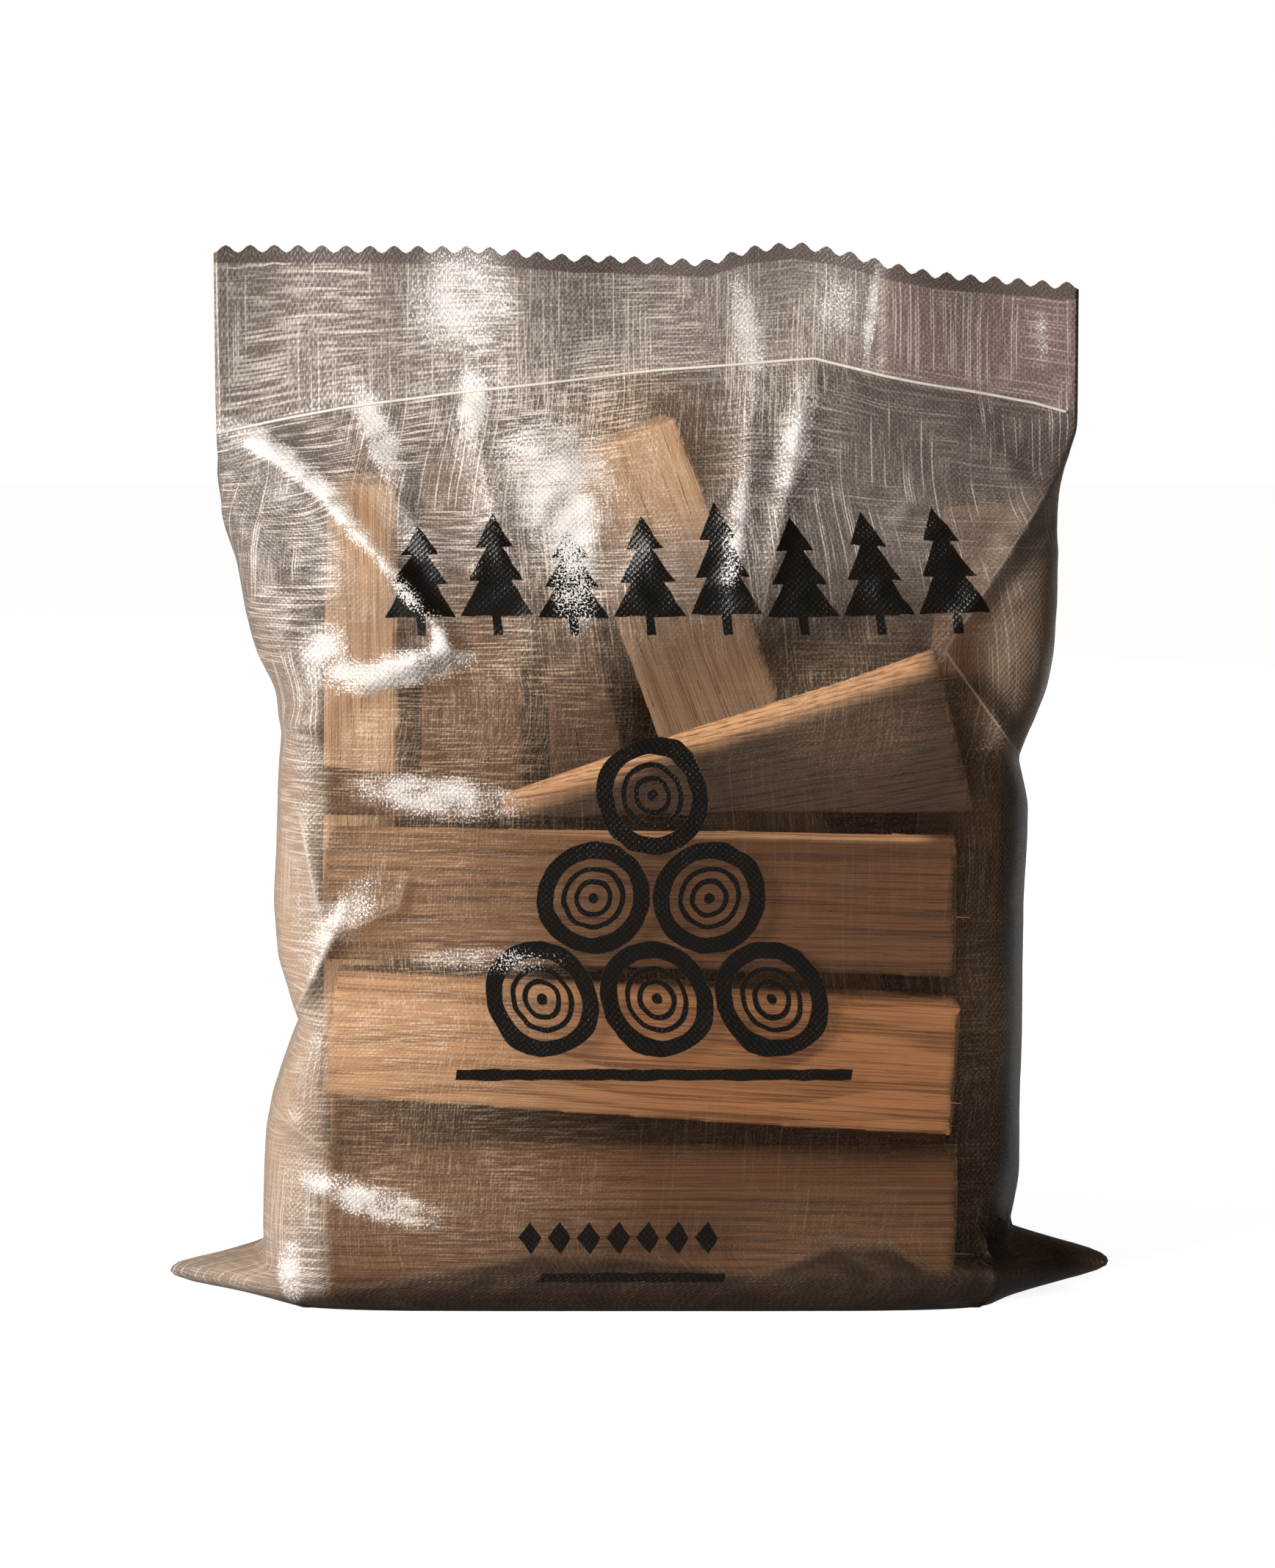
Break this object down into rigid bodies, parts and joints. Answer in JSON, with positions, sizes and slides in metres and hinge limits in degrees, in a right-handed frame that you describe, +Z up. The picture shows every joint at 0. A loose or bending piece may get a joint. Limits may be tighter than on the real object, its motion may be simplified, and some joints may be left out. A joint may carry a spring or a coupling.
{
  "type": "firewood bundle in a clear woven sack",
  "caption": "Upright clear woven-plastic sack of split firewood, with a pinked flat mouth, a closing seam and two folded bottom ears.",
  "frame": {"origin": "on the floor, under the middle of the sack", "axes": "+Z up from the base to the mouth, -Y towards the printed front, +X to the right seen from the front"},
  "size_m": [0.496, 0.146, 0.549],
  "materials": {
    "film": "clear woven plastic with a fine thread grid, smoky where nothing is behind it",
    "pale_wood": "freshly split, fibrous along the grain, sawn ends",
    "brown_wood": "split, older and browner, some bark left"
  },
  "bodies": {
    "root": {"sack": "film", "log_front_bottom": "pale_wood", "log_front_middle": "pale_wood", "log_front_upper": "pale_wood", "wedge_front_top": "pale_wood", "kindling_left": "brown_wood", "log_back_bottom": "brown_wood", "log_back_middle": "brown_wood", "log_upright_left": "pale_wood", "log_upright_second": "pale_wood", "wedge_upright_middle": "brown_wood", "log_leaning_middle": "pale_wood", "log_upright_right": "brown_wood"}
  },
  "joints": []
}
